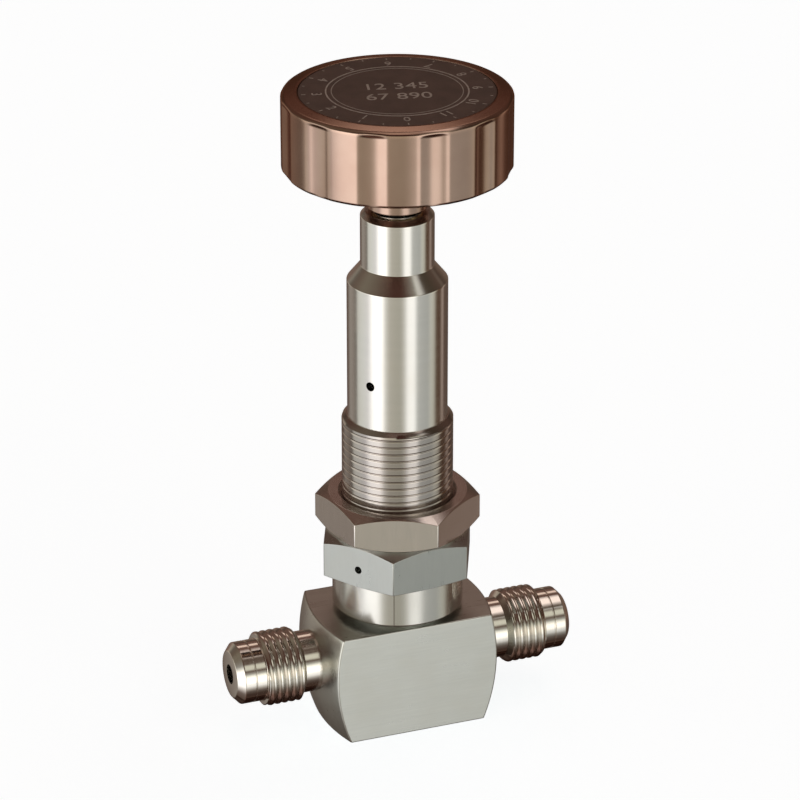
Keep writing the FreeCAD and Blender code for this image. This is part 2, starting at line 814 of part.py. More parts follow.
def make_knob_screw():
    head_top = screw_seat + size.screw_head_height
    blank = turned("screw_turned", [
        (0, screw_seat - size.screw_length), (size.screw_radius, screw_seat - size.screw_length),
        (size.screw_radius, screw_seat), (size.screw_head_radius, screw_seat),
        (size.screw_head_radius, head_top), (0, head_top),
    ])
    slot = block("screw_slot", size.screw_head_radius * 3, size.screw_slot_width, size.screw_slot_depth,
                 head_top - size.screw_slot_depth)
    return cut("knob_screw", blank, slot)


def make_knob_disc():
    return turned("knob_disc", [
        (0, plate_foot), (disc_radius, plate_foot), (disc_radius, plate_top), (0, plate_top),
    ])


pieces = [
    make_valve_body(), make_bonnet_gasket(), make_bonnet_collar(), make_bonnet_housing(), make_union_nut(),
    make_panel_nut(), make_bellows(), make_bellows_foot_ring(), make_bellows_top_ring(), make_spindle_guide(),
    make_guide_pin(), make_spindle(), make_seat_tip(), make_tip_holder(), make_coupling_plug(),
    make_coupling_cap(), make_thrust_disc(), make_thrust_ball(), make_slip_washer(), make_drive_stem(),
    make_drive_nut(), make_stem_wiper(), make_knob(), make_knob_insert(), make_knob_washer(),
    make_knob_screw(), make_knob_disc(),
]
doc.recompute()
for thing in doc.Objects:
    if "Invalid" in thing.State or "Error" in thing.State:
        raise RuntimeError("%s could not be made: %s" % (thing.Name, thing.State))
for piece in pieces:
    shape = piece.Shape
    if shape.isNull() or not shape.isValid() or len(shape.Solids) != 1:
        raise RuntimeError("%s is not one sound solid" % piece.Label)
for piece in pieces:
    piece.Shape.exportStep("parts/%s.step" % piece.Label)
print("%d pieces written" % len(pieces))
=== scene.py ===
import math

import bmesh
import bpy
from mathutils import Matrix, Vector


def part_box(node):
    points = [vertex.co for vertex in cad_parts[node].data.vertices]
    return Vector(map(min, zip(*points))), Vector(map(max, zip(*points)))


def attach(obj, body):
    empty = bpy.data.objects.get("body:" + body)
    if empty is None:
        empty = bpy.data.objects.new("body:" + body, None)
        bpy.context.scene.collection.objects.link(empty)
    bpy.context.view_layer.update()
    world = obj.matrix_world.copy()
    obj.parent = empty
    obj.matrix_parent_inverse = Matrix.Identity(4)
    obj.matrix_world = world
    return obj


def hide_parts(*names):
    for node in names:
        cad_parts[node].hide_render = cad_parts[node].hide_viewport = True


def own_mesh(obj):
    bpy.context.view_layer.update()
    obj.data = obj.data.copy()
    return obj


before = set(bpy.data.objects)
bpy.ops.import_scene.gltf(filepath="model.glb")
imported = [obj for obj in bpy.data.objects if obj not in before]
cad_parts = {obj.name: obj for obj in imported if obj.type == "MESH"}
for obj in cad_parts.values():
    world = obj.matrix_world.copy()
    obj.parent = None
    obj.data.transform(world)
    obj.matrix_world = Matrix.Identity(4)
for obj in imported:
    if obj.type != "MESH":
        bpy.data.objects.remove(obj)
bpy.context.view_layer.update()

# Small bellows-sealed valve: two threaded ports, a panel-mount bonnet and a fluted knob.
# Lengths are in millimetres in the tables, unless a note says metres, and in metres in the meshes.
mm = 0.001
print("frame loaded")


# Mesh helpers

class Surface:
    # Points and faces of a piece, gathered strip by strip and then merged where strips meet
    def __init__(self):
        self.points = []
        self.faces = []

    def grid(self, rows):
        # Rows of equal length, whose columns wrap round
        start = len(self.points)
        width = len(rows[0])
        for row in rows:
            self.points += row
        for r in range(len(rows) - 1):
            for c in range(width):
                a = start + r * width + c
                b = start + r * width + (c + 1) % width
                self.faces.append((a, b, b + width, a + width))

    def turned(self, profile, angles):
        # The profile is a list of (radius, height), or a function that gives one for an angle
        columns = [profile(angle) if callable(profile) else profile for angle in angles]
        rows = []
        for r in range(len(columns[0])):
            rows.append([
                (column[r][0] * math.cos(angle), column[r][0] * math.sin(angle), column[r][1])
                for column, angle in zip(columns, angles)
            ])
        self.grid(rows)

    def thread(self, foot, top, pitch, crest, depth, land, envelope, angles):
        # Right-hand external thread whose rows climb with the helix and end in level circles;
        # land is the flat share of the pitch, and the rest is a round groove
        half = land / 2
        guard = half * 0.85  # a row just inside the land's edge keeps it crisp
        grooveSteps = 6
        phases = [(0.0, 0.0), (guard, 0.0), (half, 0.0)]  # (share of the pitch, share of the depth)
        for step in range(1, grooveSteps):
            dip = 0.5 - 0.5 * math.cos(2 * math.pi * step / grooveSteps)
            phases.append((half + (1 - land) * step / grooveSteps, dip ** 1.15))
        phases += [(1 - half, 0.0), (1 - guard, 0.0)]
        count = len(phases)
        turns = int(math.ceil((top - foot) / pitch)) + 2
        start = len(self.points)
        width = len(angles)
        rows = turns * count
        for row in range(rows + 1):
            turn, step = divmod(row, count)
            share, sunk = phases[step]
            for angle in angles:
                height = foot + pitch * (turn - 1 + share + angle / (2 * math.pi))
                height = min(max(height, foot), top)
                radius = min(crest - depth * sunk, envelope(height))
                if height <= foot or height >= top:
                    radius = envelope(height)
                self.points.append((radius * math.cos(angle), radius * math.sin(angle), height))
        for row in range(rows):
            for c in range(width):
                if c + 1 < width:
                    a = start + row * width + c
                    self.faces.append((a, a + 1, a + 1 + width, a + width))
                elif row + 1 + count <= rows:
                    a = start + row * width + c
                    b = start + (row + count) * width
                    self.faces.append((a, b, b + width, a + width))

    def mesh(self, name, matrix=None):
        mesh = bpy.data.meshes.new(name)
        mesh.from_pydata([(x * mm, y * mm, z * mm) for x, y, z in self.points], [], self.faces)
        work = bmesh.new()
        work.from_mesh(mesh)
        weld(work, 0.0008, 0.0004)
        bmesh.ops.recalc_face_normals(work, faces=work.faces)
        if matrix is not None:
            bmesh.ops.transform(work, matrix=matrix, verts=work.verts)
        work.to_mesh(mesh)
        work.free()
        return mesh


def weld(work, near, short):
    # Merges points nearer than the first length and drops edges shorter than the second
    bmesh.ops.remove_doubles(work, verts=work.verts, dist=near * mm)
    bmesh.ops.dissolve_degenerate(work, edges=work.edges, dist=short * mm)


def ring(count):
    return [2 * math.pi * i / count for i in range(count)]


def rounded(points, radii, steps=4, closed=True):
    # Rounds the corners of a (radius, height) outline; a radius of 0 keeps the corner
    straight = math.radians(179.5)
    longest = 0.45  # share of a side that a rounding may take
    result = []
    count = len(points)
    for i, (point, radius) in enumerate(zip(points, radii)):
        if radius == 0 or (not closed and i in (0, count - 1)):
            result.append(point)
            continue
        here = Vector(point)
        before = Vector(points[i - 1]) - here
        after = Vector(points[(i + 1) % count]) - here
        angle = before.angle(after)
        if angle > straight:
            result += [point] * (steps + 1)
            continue
        reach = min(radius / math.tan(angle / 2), before.length * longest, after.length * longest)
        radius = reach * math.tan(angle / 2)
        start = here + before.normalized() * reach
        end = here + after.normalized() * reach
        middle = (before.normalized() + after.normalized()).normalized()
        centre = here + middle * (radius / math.sin(angle / 2))
        first = start - centre
        last = end - centre
        sweep = first.angle_signed(last)
        for step in range(steps + 1):
            turn = -sweep * step / steps
            cosine, sine = math.cos(turn), math.sin(turn)
            across = centre.x + first.x * cosine - first.y * sine
            along = centre.y + first.x * sine + first.y * cosine
            result.append((across, along))
    return result


def hexRadius(angle, flat, corner, turn):
    # Distance from the axis to a hexagon with rounded corners, in this direction
    part = (angle - turn) % (math.pi / 3)
    fromCorner = min(part, math.pi / 3 - part)
    inner = (flat - corner) / math.cos(math.pi / 6)
    edge = math.atan2((flat - corner) * math.tan(math.pi / 6), flat)
    if math.pi / 6 - fromCorner <= edge:
        return flat / math.cos(math.pi / 6 - fromCorner)
    return inner * math.cos(fromCorner) + math.sqrt(corner ** 2 - (inner * math.sin(fromCorner)) ** 2)


def hexAngles(turn, flat, corner):
    # Directions that follow a hexagon's flats and close up at its rounded corners
    edge = math.atan2((flat - corner) * math.tan(math.pi / 6), flat)
    gap = math.pi / 6 - edge
    flatSteps, cornerSteps = 8, 3  # for half a flat and half a corner
    angles = []
    for side in range(6):
        middle = turn + math.pi / 6 + side * math.pi / 3
        angles += [middle + edge * k / flatSteps for k in range(-flatSteps, flatSteps + 1)]
        angles += [middle + edge + gap * k / cornerSteps for k in range(1, 2 * cornerSteps)]
    return angles


def newObject(name, mesh):
    thing = bpy.data.objects.new(name, mesh)
    bpy.context.scene.collection.objects.link(thing)
    return thing


def finalMesh(thing):
    # A new mesh of the object as it looks with its modifiers, or of a text
    bpy.context.view_layer.update()
    return bpy.data.meshes.new_from_object(thing.evaluated_get(bpy.context.evaluated_depsgraph_get()))


def bake(thing):
    # Applies the modifiers of a piece to its mesh
    mesh = finalMesh(thing)
    thing.modifiers.clear()
    thing.data = mesh


def carve(base, tools, operation):
    # Joins or cuts the base with each tool, then drops the tools
    for tool in tools:
        modifier = base.modifiers.new("carve", "BOOLEAN")
        modifier.operation = operation
        modifier.solver = "EXACT"
        modifier.object = tool
        bake(base)
        bpy.data.objects.remove(tool)


def finishPiece(thing, body, material, nodes=(), sharp=34, tidy=True):
    # Smooths the shading, gives the material and ties the piece to its body
    mesh = thing.data
    if tidy:
        work = bmesh.new()
        work.from_mesh(mesh)
        weld(work, 0.0005, 0.0003)
        work.to_mesh(mesh)
        work.free()
    mesh.shade_smooth()
    mesh.set_sharp_from_angle(angle=math.radians(sharp))
    weighted = thing.modifiers.new("weighted", "WEIGHTED_NORMAL")
    weighted.keep_sharp = True
    bake(thing)
    thing.data.name = thing.name
    thing.data.materials.clear()
    thing.data.materials.append(material)
    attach(thing, body)
    if nodes:
        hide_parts(*nodes)


# Materials

bumpHeight = 0.02 * mm


class Nodes:
    # Shorthand for building a node tree
    def __init__(self, tree):
        self.tree = tree
        tree.nodes.clear()

    def add(self, kind, values=None, **settings):
        node = self.tree.nodes.new(kind)
        for name, value in settings.items():
            setattr(node, name, value)
        for name, value in (values or {}).items():
            socket = node.inputs[name]
            if isinstance(value, bpy.types.NodeSocket):
                self.tree.links.new(value, socket)
            else:
                socket.default_value = value
        return node

    def math(self, operation, first, second=0.0):
        return self.add("ShaderNodeMath", {0: first, 1: second}, operation=operation).outputs[0]

    def scaled(self, vector, factors):
        return self.add("ShaderNodeVectorMath", {0: vector, 1: factors}, operation="MULTIPLY").outputs[0]

    def noise(self, vector, scale, detail=3.0, roughness=0.55):
        values = {"Vector": vector, "Scale": scale, "Detail": detail, "Roughness": roughness}
        return self.add("ShaderNodeTexNoise", values).outputs["Fac"]

    def ranged(self, value, fromLow, fromHigh, low, high):
        values = {"Value": value, "From Min": fromLow, "From Max": fromHigh, "To Min": low, "To Max": high}
        return self.add("ShaderNodeMapRange", values, clamp=True).outputs["Result"]

    def ramp(self, value, stops):
        node = self.add("ShaderNodeValToRGB", {"Fac": value})
        elements = node.color_ramp.elements
        while len(elements) > 1:
            elements.remove(elements[-1])
        elements[0].position, elements[0].color = stops[0][0], (*stops[0][1], 1)
        for position, colour in stops[1:]:
            element = elements.new(position)
            element.color = (*colour, 1)
        return node.outputs["Color"]

    def mixed(self, factor, first, second):
        node = self.add("ShaderNodeMix", data_type="RGBA")
        for index, value in ((0, factor), (6, first), (7, second)):
            if isinstance(value, bpy.types.NodeSocket):
                self.tree.links.new(value, node.inputs[index])
            else:
                node.inputs[index].default_value = value if index == 0 else (*value, 1)
        return node.outputs[2]


def newMaterial(name):
    material = bpy.data.materials.new(name)
    material.use_nodes = True
    return material, Nodes(material.node_tree)


def ringCoordinates(nodes, centreHeight=None):
    # (distance from the axis, 0, height along it) of a turned piece, in metres
    place = nodes.add("ShaderNodeTexCoord").outputs["Object"]
    split = nodes.add("ShaderNodeSeparateXYZ", {0: place})
    if centreHeight is None:
        across, side, along = split.outputs[0], split.outputs[1], split.outputs[2]
    else:  # a lying axis along x, at this height
        along, across = split.outputs[0], split.outputs[1]
        side = nodes.math("SUBTRACT", split.outputs[2], centreHeight)
    squared = nodes.math("ADD", nodes.math("MULTIPLY", across, across), nodes.math("MULTIPLY", side, side))
    radius = nodes.math("SQRT", squared)
    return place, nodes.add("ShaderNodeCombineXYZ", {0: radius, 2: along}).outputs[0]


def metal(name, look):
    # Machined metal: tool marks that run round or along, smudges and small colour changes
    coarseness, fineShare = 0.21, 0.6
    material, nodes = newMaterial(name)
    if look["grain"] == "turned":
        place, lines = ringCoordinates(nodes, look.get("axisHeight"))
    else:
        place = nodes.add("ShaderNodeTexCoord").outputs["Object"]
        lines = nodes.scaled(place, look["stretch"])
    fine = nodes.noise(lines, look["lineScale"], 4.0, 0.6)
    coarse = nodes.noise(lines, look["lineScale"] * coarseness, 2.0, 0.5)
    smudge = nodes.noise(place, look["smudgeScale"], 3.0, 0.6)
    marks = nodes.math("ADD", nodes.math("MULTIPLY", fine, fineShare),
                       nodes.math("MULTIPLY", coarse, 1 - fineShare))
    dark = tuple(channel * (1 - look["tone"]) for channel in look["colour"])
    colour = nodes.mixed(nodes.ranged(marks, 0.3, 0.7, 0.0, 1.0), dark, look["colour"])
    stained = tuple(channel * tint for channel, tint in zip(look["colour"], look["stain"]))
    colour = nodes.mixed(nodes.ranged(smudge, 0.5, 0.8, 0.0, look["stainShare"]), colour, stained)
    rough = nodes.math("ADD", nodes.ranged(smudge, 0.3, 0.75, look["roughLow"], look["roughHigh"]),
                       nodes.ranged(marks, 0.3, 0.7, 0.0, look["roughLines"]))
    if "band" in look:
        # Between two heights, such as a thread's, the colour and roughness change: the panel thread's darker
        # colour is painted shade standing in for its grooves, and the nut's round skirt gets a lighter colour
        foot, top, bandColour, roughChange = look["band"]
        soft = 0.1
        height = nodes.add("ShaderNodeSeparateXYZ", {0: place}).outputs[2]
        inside = nodes.math("MULTIPLY", nodes.ranged(height, (foot - soft) * mm, foot * mm, 0.0, 1.0),
                            nodes.ranged(height, top * mm, (top + soft) * mm, 1.0, 0.0))
        colour = nodes.mixed(inside, colour, bandColour)
        rough = nodes.math("ADD", rough, nodes.math("MULTIPLY", inside, roughChange))
    bump = nodes.add("ShaderNodeBump", {"Height": marks, "Strength": look["bump"], "Distance": bumpHeight})
    values = {"Base Color": colour, "Metallic": 1.0, "Roughness": rough, "Normal": bump.outputs[0]}
    shader = nodes.add("ShaderNodeBsdfPrincipled", values)
    nodes.add("ShaderNodeOutputMaterial", {"Surface": shader.outputs[0]})
    return material


def moulded(name, look):
    # Plastic, rubber or paint: fine texture, soft colour changes and a glossy or dull skin
    material, nodes = newMaterial(name)
    place = nodes.add("ShaderNodeTexCoord").outputs["Object"]
    cloud = nodes.noise(place, look["cloudScale"], 3.0, 0.6)
    grain = nodes.noise(place, look["grainScale"], 4.0, 0.6)
    colour = nodes.mixed(nodes.ranged(cloud, 0.35, 0.7, 0.0, 1.0), look["colour"], look["second"])
    rough = nodes.ranged(grain, 0.3, 0.7, look["roughLow"], look["roughHigh"])
    bump = nodes.add("ShaderNodeBump", {"Height": grain, "Strength": look["bump"], "Distance": bumpHeight})
    values = {
        "Base Color": colour, "Metallic": look.get("metallic", 0.0), "Roughness": rough,
        "Normal": bump.outputs[0], "IOR": 1.5,
        "Coat Weight": look.get("coat", 0.0), "Coat Roughness": look.get("coatRoughness", 0.1),
        "Specular Tint": (*look.get("edgeTint", (1.0, 1.0, 1.0)), 1),
    }
    shader = nodes.add("ShaderNodeBsdfPrincipled", values)
    nodes.add("ShaderNodeOutputMaterial", {"Surface": shader.outputs[0]})
    return material


turnedSteelLook = {
    "grain": "turned", "lineScale": 9000.0, "smudgeScale": 90.0,
    "colour": (0.80, 0.78, 0.74), "tone": 0.06, "stain": (0.92, 0.88, 0.82), "stainShare": 0.25,
    "roughLow": 0.13, "roughHigh": 0.19, "roughLines": 0.05, "bump": 0.10,
    # The panel thread's darker colour is painted shade for the grooves that its shallow mesh thread lacks
    "band": (39.0, 62.25, (0.53, 0.49, 0.46), -0.02),  # the panel thread
}
blockSteelLook = {
    "grain": "brushed", "stretch": (0.05, 1.0, 1.0), "lineScale": 4200.0, "smudgeScale": 130.0,
    "colour": (0.63, 0.645, 0.61), "tone": 0.10, "stain": (0.94, 0.92, 0.88), "stainShare": 0.3,
    "roughLow": 0.24, "roughHigh": 0.31, "roughLines": 0.07, "bump": 0.22,
}
nutSteelLook = {
    "grain": "brushed", "stretch": (1.0, 1.0, 0.12), "lineScale": 3500.0, "smudgeScale": 150.0,
    "colour": (0.50, 0.52, 0.50), "tone": 0.06, "stain": (0.95, 0.94, 0.92), "stainShare": 0.3,
    "roughLow": 0.24, "roughHigh": 0.32, "roughLines": 0.05, "bump": 0.08,
    "band": (20.0, 31.25, (0.72, 0.71, 0.67), -0.07),  # the round skirt
}
panelNutSteelLook = {
    "grain": "brushed", "stretch": (1.0, 1.0, 0.12), "lineScale": 3500.0, "smudgeScale": 150.0,
    "colour": (0.77, 0.72, 0.68), "tone": 0.07, "stain": (0.96, 0.93, 0.89), "stainShare": 0.35,
    "roughLow": 0.17, "roughHigh": 0.24, "roughLines": 0.04, "bump": 0.05,
}
# Lighter than the block's steel, though the ports are one piece with it: the extra brightness is a painted
# highlight
portSteelPaintedBrightLook = {
    "grain": "turned", "axisHeight": 13.2 * mm, "lineScale": 9000.0, "smudgeScale": 120.0,
    "colour": (0.84, 0.80, 0.74), "tone": 0.08, "stain": (0.94, 0.89, 0.84), "stainShare": 0.35,
    "roughLow": 0.06, "roughHigh": 0.10, "roughLines": 0.06, "bump": 0.15,
}
innerSteelLook = {
    "grain": "turned", "lineScale": 7000.0, "smudgeScale": 110.0,
    "colour": (0.68, 0.67, 0.64), "tone": 0.08, "stain": (0.93, 0.90, 0.86), "stainShare": 0.3,
    "roughLow": 0.18, "roughHigh": 0.28, "roughLines": 0.05, "bump": 0.15,
}
brassLook = {
    "grain": "turned", "lineScale": 7000.0, "smudgeScale": 110.0,
    "colour": (0.78, 0.58, 0.26), "tone": 0.10, "stain": (0.85, 0.75, 0.60), "stainShare": 0.4,
    "roughLow": 0.20, "roughHigh": 0.30, "roughLines": 0.05, "bump": 0.15,
}
knobLook = {
    "colour": (0.50, 0.355, 0.285), "second": (0.46, 0.315, 0.250), "metallic": 1.0,
    "edgeTint": (0.70, 0.47, 0.39), "cloudScale": 120.0, "grainScale": 5200.0,
    "roughLow": 0.15, "roughHigh": 0.21, "bump": 0.04, "coat": 0.12, "coatRoughness": 0.06,
}
discLook = {
    "colour": (0.150, 0.102, 0.088), "second": (0.105, 0.073, 0.064),
    "cloudScale": 260.0, "grainScale": 6000.0, "roughLow": 0.30, "roughHigh": 0.42, "bump": 0.10,
}
markLook = {
    "colour": (0.66, 0.60, 0.57), "second": (0.50, 0.44, 0.42),
    "cloudScale": 900.0, "grainScale": 6000.0, "roughLow": 0.45, "roughHigh": 0.6, "bump": 0.1,
}
tipLook = {
    "colour": (0.80, 0.79, 0.74), "second": (0.72, 0.70, 0.64),
    "cloudScale": 300.0, "grainScale": 4000.0, "roughLow": 0.35, "roughHigh": 0.48, "bump": 0.08,
}
wiperLook = {
    "colour": (0.018, 0.018, 0.019), "second": (0.028, 0.027, 0.026),
    "cloudScale": 400.0, "grainScale": 5000.0, "roughLow": 0.55, "roughHigh": 0.7, "bump": 0.15,
}
turnedSteel = metal("turned_steel", turnedSteelLook)
blockSteel = metal("block_steel", blockSteelLook)
nutSteel = metal("nut_steel", nutSteelLook)
panelNutSteel = metal("panel_nut_steel", panelNutSteelLook)
portSteelPaintedBright = metal("port_steel_painted_bright", portSteelPaintedBrightLook)
innerSteel = metal("inner_steel", innerSteelLook)
brass = metal("brass", brassLook)
knobMoulding = moulded("knob_moulding", knobLook)
discPlate = moulded("disc_plate", discLook)
markPaint = moulded("mark_paint", markLook)
tipPlastic = moulded("tip_plastic", tipLook)
wiperRubber = moulded("wiper_rubber", wiperLook)
print("materials ready")


# Valve body: domed block, threaded ports, neck and passages

bodyShape = {
    "domeRadius": 37.0, "endReach": 17.8, "blockHeight": 22.2, "edge": 0.28, "endSteps": 26,
    "neckRoot": 15.0, "neckReliefRadius": 10.0, "neckReliefHeight": 1.4,
    "neckRadius": 10.7, "neckColumns": 112,
    "chamberRadius": 7.6, "chamberFloor": 18.6, "chamberColumns": 80,
    "seatHeight": 0.8, "seatRadius": 3.2, "seatBore": 2.1,
    "riseOffset": 5.4, "riseRadius": 1.4, "boreRadius": 1.9, "portHeight": 13.2,
}
portShape = {
    "root": 12.0, "neckRadius": 5.9, "threadRear": 20.5, "rearChamfer": 0.9,
    "threadFront": 28.2, "frontDrop": 0.4, "frontSlope": 1.4, "threadRadius": 7.144,
    "pitch": 1.411, "threadDepth": 0.34, "threadLand": 0.16, "noseRadius": 5.95,
    "groove": 30.3, "grooveWidth": 0.32, "grooveDepth": 0.22, "grooveSlant": 0.08,
    "tipChamfer": 1.3, "tipRadius": 4.5, "columns": 112,
}


def domedBlock(shape):
    # Bar with two domed ends, closed by four flat sides that share the ends' borders
    _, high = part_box("valve_body")
    deep = high.y / mm
    tall = shape["blockHeight"]
    steps = shape["endSteps"]
    sphere, reach, level = shape["domeRadius"], shape["endReach"], shape["portHeight"]
    work = bmesh.new()
    ends = []
    for side in (-1, 1):
        grid = []
        for j in range(steps + 1):
            z = tall * j / steps
            row = []
            for i in range(steps + 1):
                y = -deep + 2 * deep * i / steps
                x = reach - sphere + math.sqrt(sphere ** 2 - y ** 2 - (z - level) ** 2)
                row.append(work.verts.new((side * x * mm, y * mm, z * mm)))
            grid.append(row)
        for j in range(steps):
            for i in range(steps):
                work.faces.new((grid[j][i], grid[j][i + 1], grid[j + 1][i + 1], grid[j + 1][i]))
        ends.append(grid)
    inlet, outlet = ends
    borders = (
        (inlet[0], outlet[0]), (inlet[-1], outlet[-1]),
        ([row[0] for row in inlet], [row[0] for row in outlet]),
        ([row[-1] for row in inlet], [row[-1] for row in outlet]),
    )
    for first, second in borders:
        work.faces.new(list(first) + list(reversed(second)))
    bmesh.ops.recalc_face_normals(work, faces=work.faces)
    edges = [edge for edge in work.edges if edge.calc_face_angle() > math.radians(40)]
    bmesh.ops.bevel(work, geom=edges, offset=shape["edge"] * mm, segments=3, profile=0.5,
                    affect="EDGES", clamp_overlap=True)
    bmesh.ops.recalc_face_normals(work, faces=work.faces)
    mesh = bpy.data.meshes.new("block")
    work.to_mesh(mesh)
    work.free()
    return newObject("block", mesh)


def rodObject(radius, start, end, matrix, count=64):
    # A drill: a closed cylinder along the matrix's z axis
    rod = Surface()
    rod.turned([(0, start), (radius, start), (radius, end), (0, end)], ring(count))
    return newObject("rod", rod.mesh("rod", matrix))


def portObject(shape, side, level, reach):
    angles = ring(shape["columns"])
    crest, neck, nose = shape["threadRadius"], shape["neckRadius"], shape["noseRadius"]
    rear, end = shape["threadRear"], shape["threadFront"]
    front = crest - shape["frontDrop"]

    def envelope(height):
        climb = (height - rear) / shape["rearChamfer"] * (crest - neck)
        return min(crest, neck + max(climb, 0.0), front + (end - height) * shape["frontSlope"])

    port = Surface()
    depth, land = shape["threadDepth"], shape["threadLand"]
    port.thread(rear, end, shape["pitch"], crest, depth, land, envelope, angles)
    port.turned([(0, shape["root"]), (neck, shape["root"]), (neck, rear)], angles)
    grooveRear, floor = shape["groove"], nose - shape["grooveDepth"]
    grooveFront = grooveRear + shape["grooveWidth"]
    outline = [
        (front, end), (nose, end), (nose, grooveRear), (floor, grooveRear + shape["grooveSlant"]),
        (floor, grooveFront - shape["grooveSlant"]), (nose, grooveFront),
        (nose, reach - shape["tipChamfer"]), (shape["tipRadius"], reach), (0, reach),
    ]
    port.turned(rounded(outline, [0, 0.12, 0.06, 0.03, 0.03, 0.06, 0.3, 0.4, 0], closed=False), angles)
    turn = Matrix.Rotation(math.radians(90) * side, 4, "Y")
    return newObject("port", port.mesh("port", Matrix.Translation((0, 0, level * mm)) @ turn))


def makeBody(shape, ports):
    _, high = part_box("valve_body")
    reach, level, top = high.x / mm, shape["portHeight"], high.z / mm
    body = domedBlock(shape)
    neck = Surface()
    relief, neckFoot = shape["neckReliefRadius"], shape["blockHeight"] + shape["neckReliefHeight"]
    neck.turned(rounded([
        (0, shape["neckRoot"]), (relief, shape["neckRoot"]), (relief, neckFoot),
        (shape["neckRadius"], neckFoot), (shape["neckRadius"], top), (0, top),
    ], [0, 0, 0.1, 0.2, 0.3, 0], closed=False), ring(shape["neckColumns"]))
    parts = [newObject("neck", neck.mesh("neck"))]
    parts += [portObject(ports, side, level, reach) for side in (-1, 1)]
    carve(body, parts, "UNION")
    chamber = Surface()
    floor, seatTop = shape["chamberFloor"], shape["chamberFloor"] + shape["seatHeight"]
    chamber.turned([
        (0, seatTop), (shape["seatRadius"], seatTop),
        (shape["seatRadius"] + shape["seatHeight"] / 2, floor),
        (shape["chamberRadius"], floor), (shape["chamberRadius"], top + 5), (0, top + 5),
    ], ring(shape["chamberColumns"]))
    lying = Matrix.Translation((0, 0, level * mm)) @ Matrix.Rotation(math.radians(90), 4, "Y")
    aside = Matrix.Translation((shape["riseOffset"] * mm, 0, 0))
    tools = [  # each drill runs out past the face where it leaves
        newObject("chamber", chamber.mesh("chamber")),
        rodObject(shape["boreRadius"], -reach - 1, 0.0, lying),
        rodObject(shape["boreRadius"], shape["riseOffset"], reach + 1, lying),
        rodObject(shape["seatBore"], level, seatTop + 0.5, Matrix.Identity(4)),
        rodObject(shape["riseRadius"], level, floor + 0.5, aside, 48),
    ]
    carve(body, tools, "DIFFERENCE")
    body.name = "valve_body_piece"
    return body


valveBody = makeBody(bodyShape, portShape)
finishPiece(valveBody, "root", blockSteel, ["valve_body"])
print("valve body", len(valveBody.data.vertices))


# The ports get their own steel, also where their necks enter the domed ends: turned grain and lower
# roughness, and a colour lighter than the block's, which paints brighter highlights on them
valveBody.data.materials.append(portSteelPaintedBright)
domeCrown, domeFall = bodyShape["endReach"] * mm, 1.6 * mm
for polygon in valveBody.data.polygons:
    centre = polygon.center
    fromAxis = math.hypot(centre.y, centre.z - bodyShape["portHeight"] * mm)
    nearDome = abs(centre.x) > domeCrown - domeFall
    onNeck = fromAxis < portShape["neckRadius"] * mm + 0.01 * mm and abs(polygon.normal.x) < 0.6
    beyond = abs(centre.x) > domeCrown + 0.05 * mm
    if beyond or nearDome and onNeck:
        polygon.material_index = 1


# Bonnet: barrel, panel thread, tube, shoulder and neck in one turned piece with a leak test hole

bonnetShape = {
    "barrelRadius": 9.35, "barrelBore": 8.3, "threadRadius": 10.46, "threadFoot": 39.55, "threadTop": 62.3,
    "pitch": 1.411, "threadDepth": 0.085, "threadLand": 0.66, "endRelief": 0.6134,
    "tubeRadius": 9.38, "tubeBore": 7.9, "tubeTop": 89.4, "coneTop": 92.5, "neckRadius": 6.86,
    "topChamfer": 0.9, "lipBore": 4.5, "lip": 0.9, "nutBore": 5.23, "flangeBore": 7.23,
    "nutFoot": 85.2, "nutShoulder": 87.6, "ringTop": 67.4,
    "holeRadius": 0.9, "holeHeight": 71.0, "holeDirection": 217.0, "holeReach": (5.0, 14.0), "columns": 144,
}


def sideHole(piece, shape):
    # Drills a small hole through the wall, between two distances from the axis
    start, end = shape["holeReach"]
    turn = Matrix.Rotation(math.radians(shape["holeDirection"]), 4, "Z")
    place = Matrix.Translation((0, 0, shape["holeHeight"] * mm)) @ turn
    place = place @ Matrix.Rotation(math.radians(90), 4, "Y")
    carve(piece, [rodObject(shape["holeRadius"], start, end, place, 40)], "DIFFERENCE")


def makeBonnet(shape):
    low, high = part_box("bonnet_housing")
    foot, top = low.z / mm, high.z / mm
    angles = ring(shape["columns"])
    crest, pitch = shape["threadRadius"], shape["pitch"]
    threadFoot, threadTop = shape["threadFoot"], shape["threadTop"]
    relief = crest - pitch * shape["endRelief"]
    slope = (crest - relief) / (pitch / 2)

    def envelope(height):
        return min(crest, relief + (height - threadFoot) * slope, relief + (threadTop - height) * slope)

    shell = Surface()
    depth, land = shape["threadDepth"], shape["threadLand"]
    shell.thread(threadFoot, threadTop, pitch, crest, depth, land, envelope, angles)
    tube, neck, barrel = shape["tubeRadius"], shape["neckRadius"], shape["barrelRadius"]
    under, shoulder = top - shape["lip"], shape["nutShoulder"]
    nutFoot, ringTop = shape["nutFoot"], shape["ringTop"]
    outline = [
        (relief, threadTop), (tube, threadTop), (tube, shape["tubeTop"]),
        (neck, shape["coneTop"]), (neck, top - shape["topChamfer"]), (neck - shape["topChamfer"], top),
        (shape["lipBore"], top), (shape["lipBore"], under), (shape["nutBore"], under),
        (shape["nutBore"], shoulder), (shape["flangeBore"], shoulder), (shape["flangeBore"], nutFoot),
        (shape["tubeBore"], nutFoot), (shape["tubeBore"], ringTop), (shape["barrelBore"], ringTop),
        (shape["barrelBore"], foot), (barrel, foot), (barrel, threadFoot), (relief, threadFoot),
    ]
    radii = [0, 0.1, 0.35, 0.25, 0.3, 0.3, 0.15, 0.1, 0, 0, 0, 0, 0, 0, 0, 0.1, 0.2, 0, 0]
    shell.turned(rounded(outline, radii, closed=False), angles)
    piece = newObject("bonnet_piece", shell.mesh("bonnet_piece"))
    sideHole(piece, shape)
    return piece


bonnet = makeBonnet(bonnetShape)
finishPiece(bonnet, "root", turnedSteel, ["bonnet_housing"])
print("bonnet", len(bonnet.data.vertices))


# Union nut: hexagon on a round skirt, with a test hole in one flat

